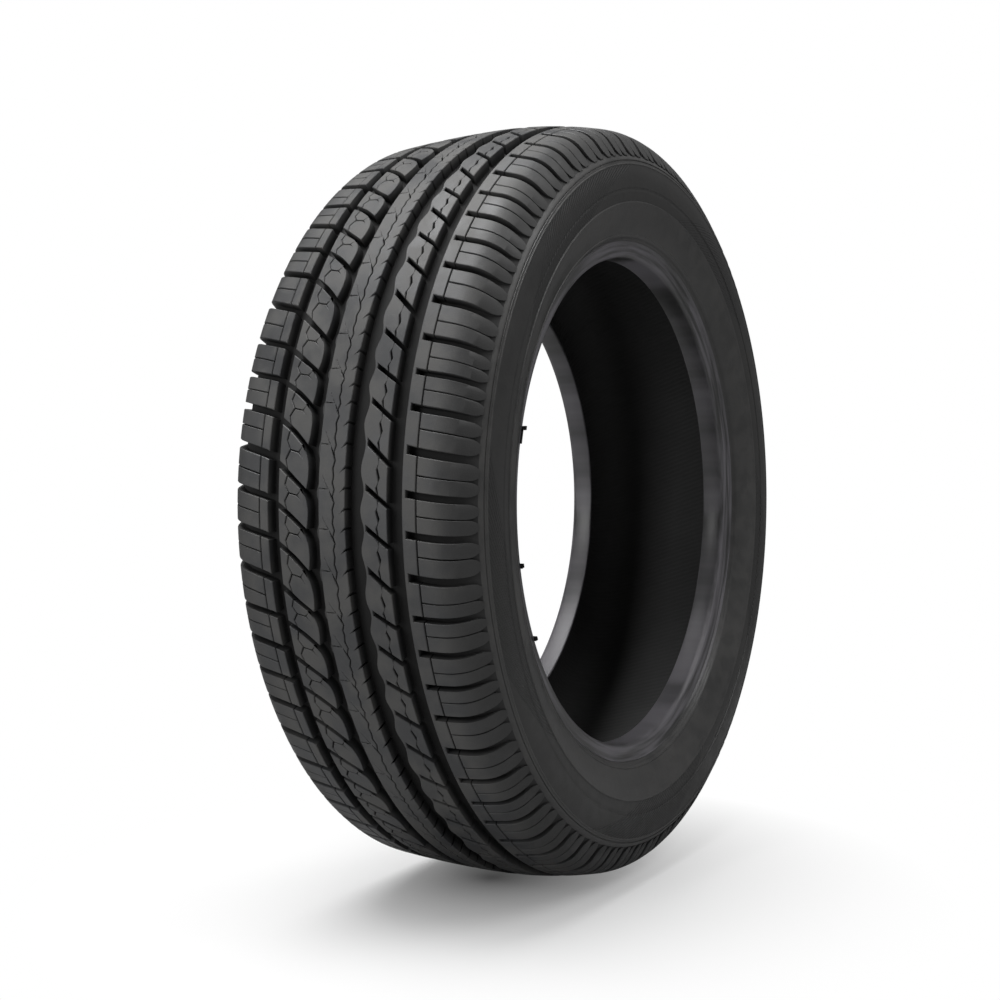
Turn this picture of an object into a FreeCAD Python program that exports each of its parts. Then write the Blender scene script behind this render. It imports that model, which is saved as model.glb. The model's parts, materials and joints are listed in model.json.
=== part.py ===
import FreeCAD, Part
import math
import os

# Frame: the wheel centre is the origin, the axle is Y and Z is up. Sizes are in millimetres.

# Bead
SEAT_R = 202.7              # radius of the cylindrical land that grips the rim
SEAT_LENGTH = 16.0          # width of that land, from the heel to the toe
HEEL_HALF = 82.5            # half of the distance between the two outer bead faces
HEEL_BEVEL = 5.5            # bevel between bead face and seat
TOE_RISE = 2.0              # height of the toe's inner face above the seat
BEAD_FACE_HEIGHT = 10.0     # top of the flat bead face above the seat
BEAD_TRIM = 2.0             # rubber under the bead that is turned away

# Sidewall
SECTION_HEIGHT = 113.3      # from the bead seat to the middle of the tread
SECTION_HALF = 101.0        # half of the widest section
WIDEST_HEIGHT = 60.5        # widest point above the bead seat
RIM_LINE_HEIGHT = 16.5      # moulded fitting line above the bead seat
RIM_LINE_HALF = 87.0        # half width of the tyre at the fitting line
SIDE_WALL = 9.0             # rubber at the widest point

# Tread
CROWN_CURVE_R = 420.0       # curve of the tread across its width
TREAD_HALF = 83.0
SHOULDER_STEP = 8.0         # the shoulder falls this far outwards
SHOULDER_DROP = 9.5         # and this far inwards
CROWN_WALL = 17.5           # rubber from the crown to the lining
SHOULDER_WALL = 24.0        # rubber from the shoulder to the lining
SIDE_FLATS = 2              # straight stretches that make up each curve of the sidewall
LINING_FLATS = 1

# Grooves that run round the tyre and the ribs between them, outwards from the centre plane
GROOVE_DEPTH = 8.0
GROOVE_DRAFT = 0.8          # each wall leans back by this much
CENTRE_RIB_HALF = 11.0
LEFT_RIB_GROOVE = 9.0
LEFT_RIB = 26.5
LEFT_SHOULDER_GROOVE = 10.0
RIGHT_RIB_GROOVE = 13.5
RIGHT_RIB = 19.0
RIGHT_SHOULDER_GROOVE = 11.0

# Cuts that cross the ribs, one of each kind in every pitch
CROSS_DEPTH = 6.5           # shoulder cuts, where they start
SLOT_DEPTH = 5.8            # rib slots, at the outer edge of the rib
CROSS_EXIT = 0.8            # shoulder cuts run out this far above the foot of the shoulder
LEFT_CROSS_WIDTH = 4.4
LEFT_CROSS_LEAN = 14.0      # degrees
LEFT_SLOT_WIDTH = 3.8
LEFT_SLOT_LEAN = 36.0
LEFT_SLOT_BEVEL = 9.0       # bevel of the block end beside the slot mouth
RIGHT_CROSS_WIDTH = 4.0
RIGHT_CROSS_LEAN = 11.0
RIGHT_CROSS_START = 2.5     # land left between the groove and the blind end of the cut
RIGHT_SLOT_WIDTH = 3.2
RIGHT_SLOT_LEAN = 38.0
RIGHT_SLOT_START = 3.0      # land left at the blind end of the slot
CUT_OVER = 3.0              # cutters reach this far into open space

# Pitch lengths vary round the tyre so that the tread does not hum
PITCH_LENGTHS = {"S": 0.86, "M": 1.0, "L": 1.16}
PITCH_ORDER = "SLMMLMSMLMSM" * 6
PITCH_PHASE = -16.4         # degrees
LEFT_CROSS_SHIFT = -1.0     # where each cut starts along its pitch, from the middle
LEFT_SLOT_SHIFT = -15.0
RIGHT_CROSS_SHIFT = 2.0

# Sizes that follow
OUTER_R = SEAT_R + SECTION_HEIGHT
LINING_R = OUTER_R - CROWN_WALL
LEFT_GROOVE_IN = CENTRE_RIB_HALF
LEFT_GROOVE_OUT = LEFT_GROOVE_IN + LEFT_RIB_GROOVE
LEFT_RIB_OUT = LEFT_GROOVE_OUT + LEFT_RIB
LEFT_SHOULDER_IN = LEFT_RIB_OUT + LEFT_SHOULDER_GROOVE
RIGHT_GROOVE_IN = -CENTRE_RIB_HALF
RIGHT_GROOVE_OUT = RIGHT_GROOVE_IN - RIGHT_RIB_GROOVE
RIGHT_RIB_OUT = RIGHT_GROOVE_OUT - RIGHT_RIB
RIGHT_SHOULDER_IN = RIGHT_RIB_OUT - RIGHT_SHOULDER_GROOVE
AXLE = FreeCAD.Vector(0, 1, 0)
CENTRE = FreeCAD.Vector(0, 0, 0)


def crown_r(across):
    """Radius of the tread surface at a distance across from the centre plane."""
    return OUTER_R - CROWN_CURVE_R + math.sqrt(CROWN_CURVE_R ** 2 - across ** 2)


SHOULDER_HALF = TREAD_HALF + SHOULDER_STEP
SHOULDER_R = crown_r(TREAD_HALF) - SHOULDER_DROP
TOE_HALF = HEEL_HALF - HEEL_BEVEL - SEAT_LENGTH


def at(across, radius):
    """A point of the cross-section."""
    return FreeCAD.Vector(radius, across, 0)


def bulge(widest, end, flats):
    """Points on the arc that leaves the widest point of the section radially and ends at the second point."""
    step = abs(widest.y - end.y)
    rise = end.x - widest.x
    curve_r = (step ** 2 + rise ** 2) / (2 * step)
    turn = math.asin(rise / curve_r)
    side = math.copysign(1, widest.y)
    points = []
    for i in range(flats + 1):
        angle = turn * i / flats
        across = widest.y - side * curve_r * (1 - math.cos(angle))
        points.append(at(across, widest.x + curve_r * math.sin(angle)))
    return points


def side_points(side):
    """Sidewall, bead and lining of one half, from the shoulder to the lining under the crown."""
    shoulder = at(side * SHOULDER_HALF, SHOULDER_R)
    widest = at(side * SECTION_HALF, SEAT_R + WIDEST_HEIGHT)
    rim_line = at(side * RIM_LINE_HALF, SEAT_R + RIM_LINE_HEIGHT)
    face_top = at(side * HEEL_HALF, SEAT_R + BEAD_FACE_HEIGHT)
    face_foot = at(side * HEEL_HALF, SEAT_R - BEAD_TRIM)
    toe_foot = at(side * TOE_HALF, SEAT_R - BEAD_TRIM)
    toe_top = at(side * TOE_HALF, SEAT_R + TOE_RISE)
    side_in = at(side * (SECTION_HALF - SIDE_WALL), widest.x)
    crown_in = at(side * (TREAD_HALF - SHOULDER_WALL), LINING_R)
    upper = bulge(widest, shoulder, SIDE_FLATS)
    lower = bulge(widest, rim_line, SIDE_FLATS)
    bead = [face_top, face_foot, toe_foot, toe_top]
    lining = bulge(side_in, crown_in, LINING_FLATS)
    return upper[::-1] + lower[1:] + bead + lining


def groove_points(start, end):
    """The four corners of a groove that runs round the tyre."""
    lean = math.copysign(GROOVE_DRAFT, end - start)
    return [
        at(start, crown_r(start)),
        at(start + lean, crown_r(start) - GROOVE_DEPTH),
        at(end - lean, crown_r(end) - GROOVE_DEPTH),
        at(end, crown_r(end)),
    ]


def tread_points():
    """The tread across the tyre, left to right, with its four grooves."""
    points = [at(TREAD_HALF, crown_r(TREAD_HALF))]
    points += groove_points(LEFT_SHOULDER_IN, LEFT_RIB_OUT)
    points += groove_points(LEFT_GROOVE_OUT, LEFT_GROOVE_IN)
    points += groove_points(RIGHT_GROOVE_IN, RIGHT_GROOVE_OUT)
    points += groove_points(RIGHT_RIB_OUT, RIGHT_SHOULDER_IN)
    points += [at(-TREAD_HALF, crown_r(TREAD_HALF))]
    return points


def ring():
    """The uncut tyre: the section follows the pitches, each straight and mitred to the next."""
    section = tread_points() + side_points(-1) + side_points(1)[::-1]
    turns = [FreeCAD.Rotation(AXLE, 180 + angle) for angle in pitch_angles()]
    faces = []
    for turn, following in zip(turns, turns[1:] + turns[:1]):
        for a, b in zip(section, section[1:] + section[:1]):
            corners = [turn.multVec(a), turn.multVec(b), following.multVec(b), following.multVec(a)]
            faces.append(Part.Face(Part.makePolygon(corners + corners[:1])))
    shell = Part.makeShell(faces)
    shell.sewShape()
    return Part.Solid(shell).removeSplitter()


def rim_space(side):
    """Space that the rim fills under one bead: heel and seat are turned true by cutting it away."""
    seat_out = HEEL_HALF - HEEL_BEVEL
    heel = HEEL_BEVEL + CUT_OVER
    toe = TOE_HALF - CUT_OVER
    low_r = SEAT_R - BEAD_TRIM - CUT_OVER
    corners = [
        (seat_out + heel, SEAT_R + heel),
        (seat_out, SEAT_R),
        (toe, SEAT_R),
        (toe, low_r),
        (seat_out + heel, low_r),
    ]
    points = [at(side * a, r) for a, r in corners + corners[:1]]
    return Part.Face(Part.makePolygon(points)).revolve(CENTRE, AXLE, 360)


def front(across, along, radius):
    """A point at the front of the tyre, where the tread faces -X."""
    return FreeCAD.Vector(-radius, across, along)


def slot(points, floor_r):
    """Cutter with an outline of (across, along) points, from the slot floor out past the tread."""
    outline = Part.makePolygon([front(a, s, floor_r) for a, s in points + points[:1]])
    return Part.Face(outline).extrude(FreeCAD.Vector(floor_r - OUTER_R - CUT_OVER, 0, 0))


def left_slot():
    """Slanted slot through the left rib; the block below it has a bevelled end at the slot mouth."""
    slope = math.tan(math.radians(LEFT_SLOT_LEAN))
    half = LEFT_SLOT_WIDTH / 2 / math.cos(math.radians(LEFT_SLOT_LEAN))
    top = LEFT_RIB_OUT + CUT_OVER
    mouth = LEFT_GROOVE_OUT
    foot = mouth - CUT_OVER
    middle = (LEFT_RIB_OUT + mouth) / 2
    points = [
        (top, slope * (top - middle) + half),
        (foot, slope * (foot - middle) + half),
        (foot, slope * (mouth - middle) - half - LEFT_SLOT_BEVEL),
        (mouth, slope * (mouth - middle) - half - LEFT_SLOT_BEVEL),
        (mouth + LEFT_SLOT_BEVEL, slope * (mouth + LEFT_SLOT_BEVEL - middle) - half),
        (top, slope * (top - middle) - half),
    ]
    return slot(points, crown_r(LEFT_RIB_OUT) - SLOT_DEPTH)


def right_slot():
    """Short slanted slot, open to the outer groove and blind towards the centre."""
    slope = math.tan(math.radians(RIGHT_SLOT_LEAN))
    half = RIGHT_SLOT_WIDTH / 2 / math.cos(math.radians(RIGHT_SLOT_LEAN))
    start = RIGHT_GROOVE_OUT - RIGHT_SLOT_START
    end = RIGHT_RIB_OUT - CUT_OVER
    middle = (start + RIGHT_RIB_OUT) / 2
    points = [
        (start, slope * (start - middle) + half),
        (end, slope * (end - middle) + half),
        (end, slope * (end - middle) - half),
        (start, slope * (start - middle) - half),
    ]
    return slot(points, crown_r(RIGHT_RIB_OUT) - SLOT_DEPTH)


def shoulder_cut(side, start, floor_start, width, lean):
    """Cut across a shoulder whose floor falls straight from its start to the foot of the shoulder."""
    fall = (floor_start - SHOULDER_R - CROSS_EXIT) / (SHOULDER_HALF - abs(start))
    far = SHOULDER_HALF + CUT_OVER
    top = OUTER_R + CUT_OVER
    corners = [
        (abs(start), floor_start),
        (far, floor_start - fall * (far - abs(start))),
        (far, top),
        (abs(start), top),
    ]
    points = [front(side * a, -width / 2, r) for a, r in corners + corners[:1]]
    cutter = Part.Face(Part.makePolygon(points)).extrude(FreeCAD.Vector(0, 0, width))
    cutter.rotate(FreeCAD.Vector(0, start, 0), FreeCAD.Vector(1, 0, 0), lean)
    return cutter


def pitch_angles():
    """Where each pitch starts round the tyre, in degrees."""
    lengths = [PITCH_LENGTHS[letter] for letter in PITCH_ORDER]
    total = sum(lengths)
    return [PITCH_PHASE + 360 * sum(lengths[:i]) / total for i in range(len(lengths))]


def pattern(cutters):
    """Copies of the cutters at the middle of every pitch."""
    starts = pitch_angles()
    copies = []
    for start, following in zip(starts, starts[1:] + [starts[0] + 360]):
        for cutter in cutters:
            copy = cutter.copy()
            copy.rotate(CENTRE, AXLE, (start + following) / 2)
            copies.append(copy)
    return copies


def pitch_cutters():
    """The cross cuts of one pitch."""
    left_start = LEFT_SHOULDER_IN - CUT_OVER
    left_floor = crown_r(LEFT_SHOULDER_IN) - CROSS_DEPTH
    left_cross = shoulder_cut(1, left_start, left_floor, LEFT_CROSS_WIDTH, LEFT_CROSS_LEAN)
    left_cross.translate(FreeCAD.Vector(0, 0, LEFT_CROSS_SHIFT))
    right_start = RIGHT_SHOULDER_IN - RIGHT_CROSS_START
    right_floor = crown_r(right_start) - CROSS_DEPTH
    right_cross = shoulder_cut(-1, right_start, right_floor, RIGHT_CROSS_WIDTH, RIGHT_CROSS_LEAN)
    right_cross.translate(FreeCAD.Vector(0, 0, RIGHT_CROSS_SHIFT))
    left_leaf = left_slot()
    left_leaf.translate(FreeCAD.Vector(0, 0, LEFT_SLOT_SHIFT))
    return [left_cross, right_cross, left_leaf, right_slot()]


cutters = pattern(pitch_cutters()) + [rim_space(1), rim_space(-1)]
tyre = ring().cut(Part.makeCompound(cutters))
os.makedirs("parts", exist_ok=True)
tyre.exportStep("parts/tyre.step")
print("tyre", tyre.ShapeType, len(tyre.Solids), tyre.isValid(), round(tyre.Volume), len(tyre.Faces))
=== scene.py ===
# %% [markdown]
# # A loose passenger car tyre
# The object is one moulding of black rubber that stands upright on its tread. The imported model
# gives the frame: the axle is Y, Z is up and the wheel centre is the origin. This lesson keeps that
# solid for the physics and dresses it with a finer moulding: thin cuts in the tread, rings on the
# sidewalls, a bead with a heel and a toe, and the lining inside.

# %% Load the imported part
import bmesh
import bpy
import json
import math
from mathutils import Matrix, Vector


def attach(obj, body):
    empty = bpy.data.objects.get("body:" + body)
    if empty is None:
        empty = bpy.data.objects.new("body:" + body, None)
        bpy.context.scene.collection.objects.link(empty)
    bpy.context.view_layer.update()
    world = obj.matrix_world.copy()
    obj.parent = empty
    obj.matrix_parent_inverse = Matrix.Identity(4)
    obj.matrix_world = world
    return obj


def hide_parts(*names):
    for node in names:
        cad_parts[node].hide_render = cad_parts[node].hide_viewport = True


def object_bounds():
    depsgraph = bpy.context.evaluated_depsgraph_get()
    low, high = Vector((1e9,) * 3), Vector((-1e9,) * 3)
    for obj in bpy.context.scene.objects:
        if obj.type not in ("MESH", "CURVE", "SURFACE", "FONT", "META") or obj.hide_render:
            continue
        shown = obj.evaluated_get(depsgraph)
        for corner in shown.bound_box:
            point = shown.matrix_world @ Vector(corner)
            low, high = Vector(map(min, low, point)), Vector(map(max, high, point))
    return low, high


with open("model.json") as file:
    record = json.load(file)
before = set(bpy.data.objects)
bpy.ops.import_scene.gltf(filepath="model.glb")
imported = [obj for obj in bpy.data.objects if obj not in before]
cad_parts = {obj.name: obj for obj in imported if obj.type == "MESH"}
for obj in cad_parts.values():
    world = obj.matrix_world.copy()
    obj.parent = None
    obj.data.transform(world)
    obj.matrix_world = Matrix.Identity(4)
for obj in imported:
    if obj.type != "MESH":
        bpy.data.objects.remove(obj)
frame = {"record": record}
cad_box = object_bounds()
print("packed box", [round(n, 4) for corner in cad_box for n in corner])

# %% [markdown]
# Tyres are drawn in millimetres, so the sizes of the tyre below are in millimetres too, and one
# factor turns them into Blender's metres at the end. Few of them are free: the bead seat comes from
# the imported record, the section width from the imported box, and the rest is what a tyre designer
# would note on the drawing.

# %% Driving sizes
MM = 0.001
SEAT_R = frame["record"]["mounts"][0]["dims"]["r_mm"]
SECTION_HALF = (cad_box[1].y - cad_box[0].y) / 2 / MM
SECTION_HEIGHT = 113.3      # from the bead seat to the middle of the tread
TIP_HEIGHT = 81.3           # from the bead seat to where the shoulder cuts end
WIDEST_HEIGHT = 62.0        # from the bead seat to the widest place of the sidewall
GROOVE_DEPTH = 8.0
OUTER_R = SEAT_R + SECTION_HEIGHT
TIP_R = SEAT_R + TIP_HEIGHT
WIDEST_R = SEAT_R + WIDEST_HEIGHT
print("outer radius", round(OUTER_R, 1), "mm, section", round(2 * SECTION_HALF, 1), "mm wide")

# %% [markdown]
# The blocks of a tread are not all the same length. Short, middle and long pitches follow each
# other, so that the tyre does not sing one note on the road. The order repeats round the tyre, and
# a place in the pattern, counted in pitches, is turned into an angle by looking up the pitch and
# going the right share into it.

# %% Pitches
PITCH_LENGTHS = {"S": 0.86, "M": 1.0, "L": 1.16}
PITCH_ORDER = "SLMMLMSMLMSM" * 6
PITCH_PHASE = math.radians(-16.4)
PITCHES = len(PITCH_ORDER)
PITCH = math.tau * OUTER_R / PITCHES

ends = [0.0]
for letter in PITCH_ORDER:
    ends.append(ends[-1] + PITCH_LENGTHS[letter])
ends = [math.tau * end / ends[-1] for end in ends]


def pitch_angle(place):
    """Angle round the tyre of a place counted in pitches from the first one."""
    turns, place = divmod(place, PITCHES)
    step = min(int(place), PITCHES - 1)
    share = place - step
    return PITCH_PHASE + math.tau * turns + ends[step] * (1 - share) + ends[step + 1] * share


print(PITCHES, "pitches of about", round(PITCH, 1), "mm")

# %% [markdown]
# Across the tyre the tread is a wide arc, then a tighter one at the shoulder, then a straight
# slope down the side, the buttress. A point of the tread is given by how far it lies across the
# rubber from the centre line, measured along that curve, as on a strip of tread that has been
# peeled off and laid flat. The class says where such a point lies on the round tyre. The two halves
# of this tyre differ: the left one has the flatter crown and the squarer shoulder.

# %% Section of the tread
class Half:
    """One half of the tread's section; the crown ends at a distance from the centre plane."""

    def __init__(self, crown_curve_r, crown_end, shoulder_r, buttress_degrees, edge_depth):
        self.crown_curve_r = crown_curve_r
        self.shoulder_r = shoulder_r
        self.edge_depth = edge_depth
        self.slope = math.radians(buttress_degrees)
        self.crown_turn = math.asin(crown_end / crown_curve_r)
        self.crown_run = crown_curve_r * self.crown_turn
        self.shoulder_run = self.crown_run + shoulder_r * (self.slope - self.crown_turn)
        step_in = crown_curve_r - shoulder_r
        self.round_across = step_in * math.sin(self.crown_turn)
        self.round_r = OUTER_R - crown_curve_r + step_in * math.cos(self.crown_turn)
        self.foot_across = self.round_across + shoulder_r * math.sin(self.slope)
        self.foot_r = self.round_r + shoulder_r * math.cos(self.slope)
        self.tip = self.shoulder_run + (self.foot_r - TIP_R) / math.sin(self.slope)

    def at(self, run):
        """Distance from the centre plane, radius, and slope at a run across the rubber."""
        if run <= self.crown_run:
            slope = run / self.crown_curve_r
            across = self.crown_curve_r * math.sin(slope)
            return across, OUTER_R - self.crown_curve_r * (1 - math.cos(slope)), slope
        if run <= self.shoulder_run:
            slope = self.crown_turn + (run - self.crown_run) / self.shoulder_r
            across = self.round_across + self.shoulder_r * math.sin(slope)
            return across, self.round_r + self.shoulder_r * math.cos(slope), slope
        down = run - self.shoulder_run
        across = self.foot_across + down * math.cos(self.slope)
        return across, self.foot_r - down * math.sin(self.slope), self.slope


LEFT = Half(crown_curve_r=900.0, crown_end=80.0, shoulder_r=14.0, buttress_degrees=66.0, edge_depth=6.5)
RIGHT = Half(crown_curve_r=320.0, crown_end=74.0, shoulder_r=26.0, buttress_degrees=60.0, edge_depth=6.2)
print("the cuts end", round(LEFT.tip, 1), "mm to the left and", round(RIGHT.tip, 1), "mm to the right")

# %% [markdown]
# The pattern is drawn on a flat strip and then laid round the tyre, point by point. Heights shrink
# with the depth of the grooves, which grow shallower over the shoulder and end in a mere step. A
# curve modifier could bend the strip too, but not with two halves and pitches of three lengths.

# %% From the flat strip to the round tyre
SHALLOW_START = 60.0        # the grooves grow shallower from this run outwards
EDGE_RUN = 86.0             # they have the edge depth of their half here
TIP_DEPTH = 0.9             # and are a mere step where the shoulder cuts end


def half_of(run):
    """The half on which a run lies; runs to the left count up."""
    return LEFT if run >= 0 else RIGHT


def section(run):
    """Signed distance from the centre plane, radius, and signed slope at a signed run."""
    side = math.copysign(1, run)
    across, radius, slope = half_of(run).at(abs(run))
    return side * across, radius, side * slope


def groove_depth(run):
    """Depth of the grooves: full in the middle, less at the edge, and a mere step at the tips."""
    half = half_of(run)
    run = abs(run)
    if run <= EDGE_RUN:
        share = max(0.0, (run - SHALLOW_START) / (EDGE_RUN - SHALLOW_START))
        return GROOVE_DEPTH + (half.edge_depth - GROOVE_DEPTH) * share
    share = min(1.0, (run - EDGE_RUN) / (half.tip - EDGE_RUN))
    return half.edge_depth + (TIP_DEPTH - half.edge_depth) * share


def wrap(point):
    """A point of the flat pattern (along, across, height) on the round tyre, in metres."""
    across, radius, slope = section(point.y)
    height = point.z * groove_depth(point.y) / GROOVE_DEPTH
    across += math.sin(slope) * height
    radius += math.cos(slope) * height
    angle = pitch_angle(point.x / PITCH)
    return Vector((-radius * math.cos(angle), across, radius * math.sin(angle))) * MM


depths = [round(groove_depth(run), 1) for run in (0, EDGE_RUN, LEFT.tip)]
print("grooves in the middle, at the edge and at the tips are", depths, "mm deep")

# %% [markdown]
# The pattern is drawn flat for one pitch. Its lines are formulas: the cross cut of the left half is
# nearly straight over the shoulder and then bends ever more along the tyre, and it is repeated one
# pitch further on. A block is the stretch of rubber between two such lines, so neighbouring blocks
# always leave the same gap. Only at the tips the gap grows, where the corners of the blocks are
# rounded off.

# %% Cross cuts
THIN = 0.4                  # half of a thin cut
CROSS_HALF = 2.6            # half of a cross cut, measured along the tyre
FLARE = 8.0                 # stretch before the tips in which the corners of a block are rounded off
CORNER = 2.6                # taken off at each corner, measured along the tyre
LEFT_BEND_START = 58.0      # the left cross cut bends from here towards the centre
LEFT_PLACE = 0.15           # and lies here along the tyre at that run
LEFT_LEAN_OUT = 0.25        # its lean outside that run
LEFT_LEAN_IN = 0.5          # and inside it
LEFT_BEND = 0.0052
BLIND_START = 57.0          # the right cross cut starts at this run
RIGHT_PLACE = 2.0           # and lies here along the tyre
RIGHT_LEAN = 0.2
RIGHT_BEND = 0.0022


def left_cut(run):
    """Middle of the left cross cut."""
    bend = LEFT_BEND_START - run
    if bend <= 0:
        return LEFT_PLACE - LEFT_LEAN_OUT * bend
    return LEFT_PLACE - LEFT_LEAN_IN * bend - LEFT_BEND * bend ** 2


def right_cut(run):
    """Middle of the right cross cut, which straightens outwards."""
    out = abs(run) - BLIND_START
    return RIGHT_PLACE - RIGHT_LEAN * out + RIGHT_BEND * out ** 2


def flare(run):
    """What the rounded corner of a block takes off at a run."""
    share = max(0.0, 1 - (half_of(run).tip - abs(run)) / FLARE)
    return CORNER * min(1.0, share) ** 2


def cross_half(run):
    """Half of a cross cut."""
    return CROSS_HALF + flare(run)


def thin_half(run):
    """Half of the thin cut in the middle of a shoulder block."""
    return THIN + flare(run)


over_shoulder = left_cut(LEFT.tip) - left_cut(LEFT_BEND_START)
print("the left cross cut leans", round(over_shoulder, 1), "mm along the tyre over the shoulder")

# %% [markdown]
# The outlines of blocks are put together from a few kinds of lines: the edge of a cut, a bow, and
# the zigzag of a thin cut. Each function gives a list of points (across, along), so an outline is a
# sum of lists. Curve objects could hold the same lines, but lists are shorter to write.

# %% Lines of an outline
def even(half):
    """The same half width all along a cut."""
    def half_at(run):
        return half
    return half_at


def cut_edge(middle, moved, side, half):
    """An edge of a cut: its middle line, moved along the tyre, and half its width to one side."""
    def edge(run):
        return middle(run) + moved + side * half(run)
    return edge


def stretch(line, start, end, count):
    """Points (across, along) on a line of the pattern."""
    runs = [start + (end - start) * i / count for i in range(count + 1)]
    return [(run, line(run)) for run in runs]


def bow(start, pull, end, count):
    """Points on a curve that leaves the start towards the pull and arrives at the end."""
    points = []
    for i in range(count + 1):
        t = i / count
        weights = ((1 - t) ** 2, 2 * t * (1 - t), t * t)
        across = weights[0] * start[0] + weights[1] * pull[0] + weights[2] * end[0]
        along = weights[0] * start[1] + weights[1] * pull[1] + weights[2] * end[1]
        points.append((across, along))
    return points


def zigzag(middle, start, end, swing, legs):
    """Points of a thin cut that wanders from side to side as it runs along the tyre."""
    points = []
    for i in range(legs + 1):
        side = 1 if i % 2 else -1
        if i in (0, legs):
            side = 0
        points.append((middle + swing * side, start + (end - start) * i / legs))
    return points


print("a zigzag of two legs", zigzag(0, 0, 10, 1, 2))

# %% [markdown]
# Every block is raised in the same way. Its outline becomes one face at the groove floor, the face
# is extruded to the tread surface, the top edge gets a small bevel that catches the light, and the
# foot is thrown away because the groove floor hides it. Ribs run through from pitch to pitch, so
# their two ends are opened as well and the copies are merged later. Booleans on a round tyre would
# also cut the pattern, but slowly and with ragged edges.

# %% Raise a block
EDGE_BEVEL = 0.45
RIB_END = PITCH / 2
TOUCH = 1e-4                # closer than this counts as the same place


def on_end(vert):
    """Whether a vertex lies on the line between two pitches."""
    return abs(abs(vert.co.x) - RIB_END) < TOUCH


def is_open(verts, through):
    """Whether all these vertices lie on an end that stays open."""
    ends_here = {math.copysign(1, vert.co.x) for vert in verts if on_end(vert)}
    return through and len(ends_here) == 1 and all(on_end(vert) for vert in verts)


def mesh_from(name, bm):
    """Turns a finished bmesh into a mesh."""
    mesh = bpy.data.meshes.new(name)
    bm.to_mesh(mesh)
    bm.free()
    return mesh


def raise_block(pattern, outline, through=False, sunk=0.0):
    """Adds one block or rib to the flat pattern; a ledge is sunk below the tread surface."""
    bm = bmesh.new()
    foot = bm.faces.new([bm.verts.new((along, across, -GROOVE_DEPTH)) for across, along in outline])
    raised = bmesh.ops.extrude_face_region(bm, geom=[foot], use_keep_orig=True)["geom"]
    lifted = [item for item in raised if isinstance(item, bmesh.types.BMVert)]
    bmesh.ops.translate(bm, verts=lifted, vec=(0, 0, GROOVE_DEPTH - sunk))
    bmesh.ops.recalc_face_normals(bm, faces=bm.faces[:])
    top = max(bm.faces, key=lambda face: face.calc_center_median().z)
    rim = [edge for edge in top.edges if not is_open(edge.verts, through)]
    bmesh.ops.bevel(
        bm, geom=rim, offset=EDGE_BEVEL, offset_type="OFFSET", segments=1, profile=0.5,
        affect="EDGES", material=-1, clamp_overlap=True,
    )
    low = -GROOVE_DEPTH + TOUCH
    hidden = [face for face in bm.faces if all(vert.co.z < low for vert in face.verts)]
    hidden += [face for face in bm.faces if face not in hidden and is_open(face.verts, through)]
    bmesh.ops.delete(bm, geom=hidden, context="FACES")
    block = mesh_from("block", bm)
    pattern.from_mesh(block)
    bpy.data.meshes.remove(block)


print("blocks rise", GROOVE_DEPTH, "mm and have a bevel of", EDGE_BEVEL, "mm")

# %% [markdown]
# The shoulders carry the large blocks. On the left the cross cuts come straight out of the groove;
# on the right they start blind inside a narrow strip. Both shoulders have a thin cut that runs
# round the tyre and one thin cut in the middle of each block. Down on the buttress the blocks end
# in rounded corners, so both kinds of cut widen there. One function draws the outer blocks of both
# sides, because only the line that they follow differs.

# %% Shoulder blocks
RING_CUT = 64.5             # thin cut that runs round both shoulders
LEFT_SHOULDER_IN = 56.5
RIGHT_SHOULDER_IN = 54.5
BLOCK_STEPS = 16
STRIP_STEPS = 3
NOTCH_STEPS = 2


def outer_block(pattern, middle, start, tip):
    """The two halves of an outer block, with a thin cut between them."""
    low = cut_edge(middle, moved=0, side=1, half=cross_half)
    under = cut_edge(middle, moved=PITCH / 2, side=-1, half=thin_half)
    over = cut_edge(middle, moved=PITCH / 2, side=1, half=thin_half)
    high = cut_edge(middle, moved=PITCH, side=-1, half=cross_half)
    for near, far in ((low, under), (over, high)):
        outline = stretch(near, start, tip, BLOCK_STEPS) + stretch(far, tip, start, BLOCK_STEPS)
        raise_block(pattern, outline)


def left_shoulder(pattern):
    """Inner strip and outer block on the left."""
    low = cut_edge(left_cut, moved=0, side=1, half=cross_half)
    high = cut_edge(left_cut, moved=PITCH, side=-1, half=cross_half)
    strip = RING_CUT - THIN
    outline = stretch(low, strip, LEFT_SHOULDER_IN, STRIP_STEPS)
    outline += stretch(high, LEFT_SHOULDER_IN, strip, STRIP_STEPS)
    raise_block(pattern, outline)
    outer_block(pattern, left_cut, RING_CUT + THIN, LEFT.tip)


def right_shoulder(pattern):
    """Strip with the blind starts of the cuts, and outer block on the right."""
    low = cut_edge(right_cut, moved=0, side=-1, half=even(CROSS_HALF))
    high = cut_edge(right_cut, moved=0, side=1, half=even(CROSS_HALF))
    strip = -RING_CUT + THIN
    outline = [(-RIGHT_SHOULDER_IN, -RIB_END), (-RIGHT_SHOULDER_IN, RIB_END), (strip, RIB_END)]
    outline += stretch(high, strip, -BLIND_START, NOTCH_STEPS)
    outline += stretch(low, -BLIND_START, strip, NOTCH_STEPS)
    outline += [(strip, -RIB_END)]
    raise_block(pattern, outline, through=True)
    outer_block(pattern, right_cut, -RING_CUT - THIN, -RIGHT.tip)


left_width = LEFT.tip - RING_CUT
right_width = RIGHT.tip - RING_CUT
print("outer blocks reach", round(left_width, 1), "and", round(right_width, 1), "mm past the ring cut")

# %% [markdown]
# The left rib is cut right through into leaf shapes: a pointed tip at the lower end, a full round
# belly towards the centre, and a wandering thin cut that splits each leaf and sends a forked branch
# into it. Two bows and straight lines are enough for the leaf.

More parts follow.
